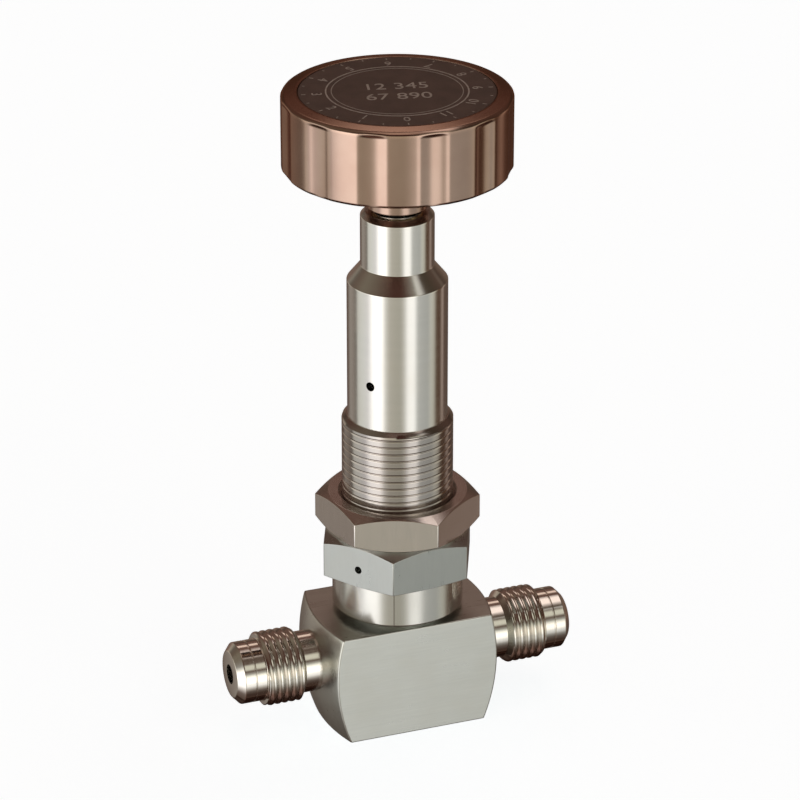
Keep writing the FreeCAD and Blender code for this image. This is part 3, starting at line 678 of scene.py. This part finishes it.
unionShape = {
    "flats": 27.0, "corner": 0.3, "turn": 6.3, "skirtRadius": 12.4, "hexFoot": 31.3,
    "chamferHeight": 1.2, "chamferInset": 0.4, "footChamfer": 0.3, "footEdge": (0.05, 0.02),
    "threadBore": 10.75, "barrelBore": 9.4, "collarTop": 32.4,
    "holeRadius": 0.75, "holeHeight": 34.9, "holeDirection": 216.3, "holeReach": (8.0, 18.0),
}


def makeUnionNut(shape):
    low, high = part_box("union_nut")
    foot, top = low.z / mm, high.z / mm
    flat = shape["flats"] / 2
    corner = flat / math.cos(math.pi / 6)
    turn = math.radians(shape["turn"])
    topRadius = flat - shape["chamferInset"]
    topSlope = shape["chamferHeight"] / (corner - topRadius)
    footSlope = shape["footChamfer"] / (corner - flat)
    hexFoot, skirt = shape["hexFoot"], shape["skirtRadius"]
    inset, rise = shape["footEdge"]

    def profile(angle):
        side = hexRadius(angle, flat, shape["corner"], turn)
        outline = [
            (shape["threadBore"], foot), (skirt, foot), (skirt, hexFoot), (flat - inset, hexFoot),
            (side, hexFoot + (side - flat) * footSlope + rise), (side, top - (side - topRadius) * topSlope),
            (topRadius, top), (shape["barrelBore"], top),
            (shape["barrelBore"], shape["collarTop"]), (shape["threadBore"], shape["collarTop"]),
        ]
        loop = rounded(outline, [0.15, 0.4, 0.15, 0.1, 0.12, 0.16, 0.2, 0.15, 0.1, 0.1], 3)
        return loop + loop[:1]

    nut = Surface()
    nut.turned(profile, hexAngles(turn, flat, shape["corner"]))
    piece = newObject("union_nut_piece", nut.mesh("union_nut_piece"))
    sideHole(piece, shape)
    return piece


unionNut = makeUnionNut(unionShape)
finishPiece(unionNut, "root", nutSteel, ["union_nut"])
print("union nut", len(unionNut.data.vertices))


# Panel nut: hexagon chamfered at both faces

panelNutShape = {
    "flats": 27.0, "corner": 0.3, "turn": 38.3, "chamferHeight": 1.2, "chamferInset": 0.4,
    "bore": 10.51, "boreChamfer": 0.7,
}


def makePanelNut(shape):
    low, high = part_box("panel_nut")
    foot, top = low.z / mm, high.z / mm
    flat = shape["flats"] / 2
    corner = flat / math.cos(math.pi / 6)
    turn = math.radians(shape["turn"])
    faceRadius = flat - shape["chamferInset"]
    slope = shape["chamferHeight"] / (corner - faceRadius)
    bore, cone = shape["bore"], shape["boreChamfer"]

    def profile(angle):
        side = hexRadius(angle, flat, shape["corner"], turn)
        rise = (side - faceRadius) * slope
        outline = [
            (bore, foot + cone), (bore + cone, foot), (faceRadius, foot), (side, foot + rise),
            (side, top - rise), (faceRadius, top), (bore + cone, top), (bore, top - cone),
        ]
        loop = rounded(outline, [0.05, 0.1, 0.2, 0.16, 0.16, 0.2, 0.1, 0.05], 3)
        return loop + loop[:1]

    nut = Surface()
    nut.turned(profile, hexAngles(turn, flat, shape["corner"]))
    return newObject("panel_nut_piece", nut.mesh("panel_nut_piece"))


panelNut = makePanelNut(panelNutShape)
finishPiece(panelNut, "panel_nut", panelNutSteel, ["panel_nut"])
print("panel nut", len(panelNut.data.vertices))


# Knob: twelve flutes, a sloping crown, a hollow underside and a boss

knobShape = {
    "radius": 21.13, "rim": 125.25, "shoulder": 125.7, "shoulderRadius": 20.5, "crownRadius": 18.53,
    "foot": 111.3, "footRadius": 20.63,
    "bossRadius": 5.7, "coreBore": 8.4, "coreRadius": 17.0, "coreDepth": 4.0,
    "flutes": 12, "fluteRadius": 9.5, "fluteDepth": 0.5, "fluteRunout": 0.7, "fluteDirection": 27.3,
    "fluteEdge": 0.5, "columnsPerFlute": 30, "plateBore": 18.06, "plateDepth": 1.0, "pocketRadius": 5.4,
    "headBore": 7.53, "headHeight": 2.6, "insertTop": 117.8, "insertBore": 4.73,
}


def makeKnob(shape):
    low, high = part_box("knob")
    bottom, top = low.z / mm, high.z / mm
    outer = shape["radius"]
    hollow = shape["fluteRadius"]
    centre = outer + hollow - shape["fluteDepth"]
    spacing = 2 * math.pi / shape["flutes"]
    start = math.radians(shape["fluteDirection"])
    # The flute meets the land in this direction from its middle
    edge = math.acos((centre ** 2 + outer ** 2 - hollow ** 2) / (2 * centre * outer))
    soft = shape["fluteEdge"] / outer
    tiny = 0.001

    def exact(offset):
        if offset >= edge:
            return outer
        return centre * math.cos(offset) - math.sqrt(hollow ** 2 - (centre * math.sin(offset)) ** 2)

    def wall(offset):
        # Distance to the wall at this angle from a flute's middle, with softened edges
        if offset < edge - soft or offset > edge + soft:
            return exact(offset)
        share = (offset - edge + soft) / (2 * soft)
        inside = exact(edge - soft)
        grade = (inside - exact(edge - soft - tiny)) / tiny * 2 * soft
        return inside + grade * share + (outer - inside - grade) * share ** 2

    plateFoot = top - shape["plateDepth"]
    foot, coreTop = shape["foot"], shape["foot"] + shape["coreDepth"]
    insertTop, headFoot = shape["insertTop"], shape["insertTop"] - shape["headHeight"]
    radii = [0.3, 0.4, 0.3, 0.5, 0.5, 0.3, 0.4, 0.5, 0.9, 0.5]
    radii += [0.8, 0.5, 0.15, 0.05, 0.05, 0, 0, 0, 0.05, 0.1]

    def profile(angle):
        offset = (angle - start + spacing / 2) % spacing - spacing / 2
        side = wall(abs(offset))
        outline = [
            (shape["bossRadius"], bottom), (shape["bossRadius"], foot), (shape["coreBore"], foot),
            (shape["coreBore"], coreTop), (shape["coreRadius"], coreTop), (shape["coreRadius"], foot),
            (shape["footRadius"], foot), (side, foot + outer - shape["footRadius"]),
            (side, shape["rim"] - shape["fluteRunout"]), (outer, shape["rim"]),
            (shape["shoulderRadius"], shape["shoulder"]), (shape["crownRadius"], top),
            (shape["plateBore"], top), (shape["plateBore"], plateFoot),
            (shape["pocketRadius"], plateFoot), (shape["pocketRadius"], insertTop),
            (shape["headBore"], insertTop), (shape["headBore"], headFoot),
            (shape["insertBore"], headFoot), (shape["insertBore"], bottom),
        ]
        loop = rounded(outline, radii)
        return loop + loop[:1]

    count = shape["columnsPerFlute"]
    angles = []
    for flute in range(shape["flutes"]):
        angles += [start + spacing * (flute + (step - count / 2) / count) for step in range(count)]
    surface = Surface()
    surface.turned(profile, angles)
    return newObject("knob_piece", surface.mesh("knob_piece"))


knob = makeKnob(knobShape)
finishPiece(knob, "handle", knobMoulding, ["knob"], sharp=50)
print("knob", len(knob.data.vertices))


# Disc in the knob's top, with plain rings, ticks and numbers

discShape = {
    "columns": 128, "facing": -14.0, "raised": 0.035, "sunk": 0.01,
    "lineRadius": 12.9, "lineWidth": 0.28, "lineGap": 1.0, "lineColumns": 160,
    "ticks": 24, "tickInner": 16.6, "tickOuter": 17.4, "tickWidth": 0.22, "shortTick": 0.6,
    "numbers": 12, "numberRadius": 14.7, "numberSize": 2.8,
    "centreSize": 4.4, "rows": ((2.4, "12 345"), (-2.9, "67 890")),
}


def makeDisc(shape):
    low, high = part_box("knob_disc")
    radius, foot, top = high.x / mm, low.z / mm, high.z / mm
    disc = Surface()
    outline = [(0, foot), (radius, foot), (radius, top), (0, top)]
    disc.turned(rounded(outline, [0, 0.1, 0.25, 0], closed=False), ring(shape["columns"]))
    return newObject("knob_disc_piece", disc.mesh("knob_disc_piece"))


def flatText(text, size, matrix, height):
    # A number as a thin raised mesh
    curve = bpy.data.curves.new("number", "FONT")
    curve.body = text
    curve.size = size * mm
    curve.align_x = "CENTER"
    curve.align_y = "CENTER"
    curve.extrude = height / 2 * mm
    curve.resolution_u = 4
    thing = newObject("number", curve)
    mesh = finalMesh(thing)
    bpy.data.objects.remove(thing)
    mesh.transform(matrix)
    return mesh


def makeMarks(shape):
    _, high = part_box("knob_disc")
    top, outerEnd = high.z / mm, shape["tickOuter"]
    foot, head = top - shape["sunk"], top + shape["raised"]
    thick = shape["raised"] + shape["sunk"]
    middle = top + shape["raised"] / 2 - shape["sunk"]
    facing = math.radians(shape["facing"])
    marks = bmesh.new()

    def placed(angle, x, y):
        return Matrix.Rotation(angle, 4, "Z") @ Matrix.Translation((x * mm, y * mm, middle * mm))

    lines = Surface()
    half, around = shape["lineWidth"] / 2, ring(shape["lineColumns"])
    for line in (shape["lineRadius"], shape["lineRadius"] - shape["lineGap"]):
        inner, outer = line - half, line + half
        lines.turned([(inner, foot), (outer, foot), (outer, head), (inner, head), (inner, foot)], around)
        half *= 0.5  # the inner line is half as wide
    marks.from_mesh(lines.mesh("lines"))
    for index in range(shape["ticks"]):
        tick = bmesh.ops.create_cube(marks, size=1.0)["verts"]
        long = (outerEnd - shape["tickInner"]) * (shape["shortTick"] if index % 2 else 1.0)
        place = placed(facing + 2 * math.pi * index / shape["ticks"], outerEnd - long / 2, 0)
        place = place @ Matrix.Diagonal((long * mm, shape["tickWidth"] * mm, thick * mm, 1))
        bmesh.ops.transform(marks, matrix=place, verts=tick)
    for index in range(shape["numbers"]):
        angle = facing - math.pi / 2 - 2 * math.pi * index / shape["numbers"]
        place = placed(angle, shape["numberRadius"], 0) @ Matrix.Rotation(math.pi / 2, 4, "Z")
        marks.from_mesh(flatText(str(index), shape["numberSize"], place, thick))
    for row, digits in shape["rows"]:
        marks.from_mesh(flatText(digits, shape["centreSize"], placed(facing, 0, row), thick))
    bmesh.ops.remove_doubles(marks, verts=marks.verts, dist=0.0005 * mm)
    mesh = bpy.data.meshes.new("disc_marks")
    marks.to_mesh(mesh)
    marks.free()
    return newObject("disc_marks", mesh)


disc = makeDisc(discShape)
finishPiece(disc, "handle", discPlate, ["knob_disc"])
discMarks = makeMarks(discShape)
finishPiece(discMarks, "handle", markPaint, tidy=False)
print("disc and marks")


# Bellows: smooth thin folds

bellowsShape = {
    "outer": 7.3, "inner": 4.7, "wall": 0.25, "folds": 14, "flatness": 0.6, "stepsPerFold": 16, "columns": 72,
}


def makeBellows(shape):
    low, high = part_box("bellows")
    foot, top = low.z / mm, high.z / mm
    pitch = (top - foot) / shape["folds"]
    middle = (shape["outer"] + shape["inner"]) / 2
    swing = (shape["outer"] - shape["inner"] - shape["wall"]) / 2
    count = shape["folds"] * shape["stepsPerFold"]
    line = []
    for step in range(count + 1):
        share = step / shape["stepsPerFold"]
        wave = -math.cos(2 * math.pi * share)
        wave = math.copysign(abs(wave) ** shape["flatness"], wave)  # flatter folds than a sine's
        line.append(Vector((middle + swing * wave, foot + pitch * share)))
    outside, inside = [], []
    for index, point in enumerate(line):
        before, after = line[max(index - 1, 0)], line[min(index + 1, count)]
        along = (after - before).normalized()
        normal = Vector((along.y, -along.x)) * shape["wall"] / 2
        outside.append(point + normal)
        inside.append(point - normal)
    loop = outside + list(reversed(inside)) + outside[:1]
    loop = [(min(max(p.x, shape["inner"]), shape["outer"]), min(max(p.y, foot), top)) for p in loop]
    piece = Surface()
    piece.turned(loop, ring(shape["columns"]))
    return newObject("bellows_piece", piece.mesh("bellows_piece"))


bellows = makeBellows(bellowsShape)
finishPiece(bellows, "root", innerSteel, ["bellows"], sharp=70)
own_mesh(bellows)
print("bellows")


# CAD nodes that stay as they are get their materials

keptNodes = {
    "bonnet_gasket": turnedSteel, "bonnet_collar": innerSteel, "bellows_foot_ring": innerSteel,
    "bellows_top_ring": innerSteel, "spindle_guide": brass, "guide_pin": innerSteel, "spindle": innerSteel,
    "seat_tip": tipPlastic, "tip_holder": innerSteel, "coupling_plug": innerSteel,
    "coupling_cap": innerSteel, "thrust_disc": innerSteel, "thrust_ball": turnedSteel,
    "slip_washer": brass, "drive_stem": turnedSteel, "drive_nut": brass, "stem_wiper": wiperRubber,
    "knob_insert": brass, "knob_washer": innerSteel, "knob_screw": innerSteel,
}
for nodeName, material in keptNodes.items():
    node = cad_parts[nodeName]
    node.data.materials.clear()
    node.data.materials.append(material)


# Studio: a floor, and a surround that only reflections see

studio = {
    "cameraPlace": (-0.2369, -0.6242, 0.3702),  # metres
    "cameraPitch": 65.413, "cameraTurn": -20.825, "lens": 177.2,
    "floorGlow": (0.845, 0.872, 0.888), "floorWhite": 0.55, "floorReach": 4.0,  # metres
    "facing": 249.2,  # the camera's heading from the object
    "strength": 2.0, "patchEdge": (0.6, 1.4),
}


def makeCamera(settings):
    data = bpy.data.cameras.new("camera")
    data.lens = settings["lens"]
    data.sensor_width = 36
    data.clip_end = 20
    camera = newObject("camera", data)
    camera.location = settings["cameraPlace"]
    camera.rotation_euler = (math.radians(settings["cameraPitch"]), 0, math.radians(settings["cameraTurn"]))
    bpy.context.scene.camera = camera


def makeFloor(settings):
    mesh = bpy.data.meshes.new("floor")
    wide = settings["floorReach"]
    corners = [(-wide, -wide, 0), (wide, -wide, 0), (wide, wide, 0), (-wide, wide, 0)]
    mesh.from_pydata(corners, [], [(0, 1, 2, 3)])
    floor = newObject("floor", mesh)
    floor.location.z = -0.02 * mm  # clear of the block's underside
    material, nodes = newMaterial("floor")
    seen = nodes.add("ShaderNodeLightPath").outputs["Is Camera Ray"]
    place = nodes.add("ShaderNodeTexCoord").outputs["Object"]
    white = settings["floorWhite"]
    tone = nodes.ranged(nodes.noise(place, 30.0), 0.3, 0.7, white, white + 0.005)
    colour = nodes.add("ShaderNodeCombineColor", {0: tone, 1: tone, 2: tone}).outputs[0]
    diffuse = nodes.add("ShaderNodeBsdfDiffuse", {"Color": colour})
    glow = nodes.add("ShaderNodeEmission", {"Color": (*settings["floorGlow"], 1), "Strength": 1.0})
    both = nodes.add("ShaderNodeAddShader", {0: diffuse.outputs[0], 1: glow.outputs[0]})
    clear = nodes.add("ShaderNodeBsdfTransparent")
    mix = nodes.add("ShaderNodeMixShader", {0: seen, 1: clear.outputs[0], 2: both.outputs[0]})
    nodes.add("ShaderNodeOutputMaterial", {"Surface": mix.outputs[0]})
    mesh.materials.append(material)


# What the metal mirrors, level with it and above. Degrees to the right of the camera as seen from
# the object, and the light's colour.
surround = [
    (-180, (0.12, 0.085, 0.07)), (-149, (0.13, 0.09, 0.075)), (-137, (0.31, 0.275, 0.24)),
    (-122, (0.28, 0.24, 0.21)), (-107, (0.16, 0.14, 0.12)), (-102, (0.66, 0.66, 0.61)),
    (-84, (0.72, 0.73, 0.70)), (-70, (0.76, 0.75, 0.76)), (-58, (1.45, 1.45, 1.45)),
    (-36, (1.58, 1.56, 1.54)), (-27, (0.72, 0.71, 0.66)), (-18, (0.49, 0.47, 0.41)),
    (8, (0.41, 0.40, 0.34)), (17, (0.66, 0.65, 0.61)), (24, (1.18, 1.18, 1.15)),
    (39, (1.22, 1.22, 1.19)), (47, (0.50, 0.51, 0.49)), (74, (0.42, 0.43, 0.41)),
    (82, (0.58, 0.58, 0.52)), (92, (0.50, 0.48, 0.41)), (99, (0.11, 0.065, 0.04)),
    (114, (0.08, 0.045, 0.03)), (124, (0.42, 0.33, 0.28)), (132, (0.11, 0.07, 0.055)),
    (150, (0.10, 0.07, 0.055)), (180, (0.12, 0.085, 0.07)),
]
overhead = [
    (-180, (0.15, 0.083, 0.066)), (-130, (0.13, 0.078, 0.060)), (-95, (0.19, 0.16, 0.12)),
    (-45, (0.12, 0.08, 0.06)), (-15, (0.07, 0.030, 0.022)), (15, (0.07, 0.030, 0.022)),
    (40, (0.14, 0.10, 0.08)), (92, (0.06, 0.045, 0.03)), (130, (0.11, 0.066, 0.050)),
    (180, (0.15, 0.083, 0.066)),
]
# By degrees of elevation: the surround's tint, and how far the overhead covers it
rise = [
    (-90, (0.12, 0.07, 0.06)), (-62, (0.12, 0.07, 0.055)), (-48, (0.24, 0.19, 0.17)),
    (-38, (0.52, 0.49, 0.47)), (-29, (0.94, 0.94, 0.94)), (-22, (1.04, 1.04, 1.04)),
    (-14, (1.48, 1.43, 1.36)), (-6, (1.62, 1.55, 1.46)), (1, (1.46, 1.40, 1.32)),
    (8, (0.95, 0.95, 0.89)), (14, (0.48, 0.48, 0.44)),
]
cover = [(-90, 0.0), (12, 0.0), (24, 1.0), (90, 1.0)]
# Soft patches of light: degrees round, degrees up, half width, half height and colour
patches = [
    (44, 38, 14, 9, (0.72, 0.71, 0.60)),
    (66, 49, 9, 6, (0.78, 0.76, 0.70)),
    (0, 90, 400, 13, (0.65, 0.50, 0.42)),
    (118, 68, 38, 7, (1.25, 1.08, 1.00)),
    (180, 42, 17, 5, (0.95, 0.74, 0.63)),
    (-180, 42, 22, 5, (0.95, 0.74, 0.63)),
]


def makeWorld(settings):
    world = bpy.data.worlds.new("studio")
    bpy.context.scene.world = world
    world.use_nodes = True
    nodes = Nodes(world.node_tree)
    strength = settings["strength"]

    def divided(colour, share):
        return tuple(channel / share for channel in colour)

    direction = nodes.add("ShaderNodeTexCoord").outputs["Generated"]
    turn = -math.radians(settings["facing"])
    values = {"Vector": direction, "Angle": turn}
    turned = nodes.add("ShaderNodeVectorRotate", values, rotation_type="Z_AXIS")
    split = nodes.add("ShaderNodeSeparateXYZ", {0: turned.outputs[0]})
    heading = nodes.math("ARCTAN2", split.outputs[1], split.outputs[0])
    share = nodes.ranged(heading, -math.pi, math.pi, 0.0, 1.0)
    level = nodes.ranged(nodes.math("ARCSINE", split.outputs[2]), -math.pi / 2, math.pi / 2, 0.0, 1.0)
    band = nodes.ramp(share, [(d / 360 + 0.5, divided(light, strength)) for d, light in surround])
    sky = nodes.ramp(share, [(d / 360 + 0.5, divided(light, strength)) for d, light in overhead])
    mask = nodes.ramp(level, [(d / 180 + 0.5, (v, v, v)) for d, v in cover])
    fade = nodes.ramp(level, [(d / 180 + 0.5, divided(tint, 2)) for d, tint in rise])  # tints reach past 1
    band = nodes.scaled(nodes.scaled(band, fade), (2.0, 2.0, 2.0))
    colour = nodes.mixed(mask, band, sky)
    for around, up, wide, tall, light in patches:
        aside = nodes.math("SUBTRACT", heading, math.radians(around))
        aside = nodes.math("MULTIPLY", aside, 1 / math.radians(wide))
        above = nodes.math("MULTIPLY", nodes.math("SUBTRACT", level, up / 180 + 0.5), 180 / tall)
        away = nodes.math("MAXIMUM", nodes.math("ABSOLUTE", aside), nodes.math("ABSOLUTE", above))
        shown = nodes.ranged(away, *settings["patchEdge"], 1.0, 0.0)
        colour = nodes.mixed(shown, colour, divided(light, strength))
    lit = nodes.add("ShaderNodeBackground", {"Color": colour, "Strength": strength})
    plain = nodes.add("ShaderNodeBackground", {"Color": (1, 1, 1, 1), "Strength": 1.0})
    seen = nodes.add("ShaderNodeLightPath").outputs["Is Camera Ray"]
    mix = nodes.add("ShaderNodeMixShader", {0: seen, 1: lit.outputs[0], 2: plain.outputs[0]})
    nodes.add("ShaderNodeOutputWorld", {"Surface": mix.outputs[0]})


makeCamera(studio)
makeFloor(studio)
makeWorld(studio)
bpy.context.scene.view_settings.view_transform = "Standard"
print("studio ready")
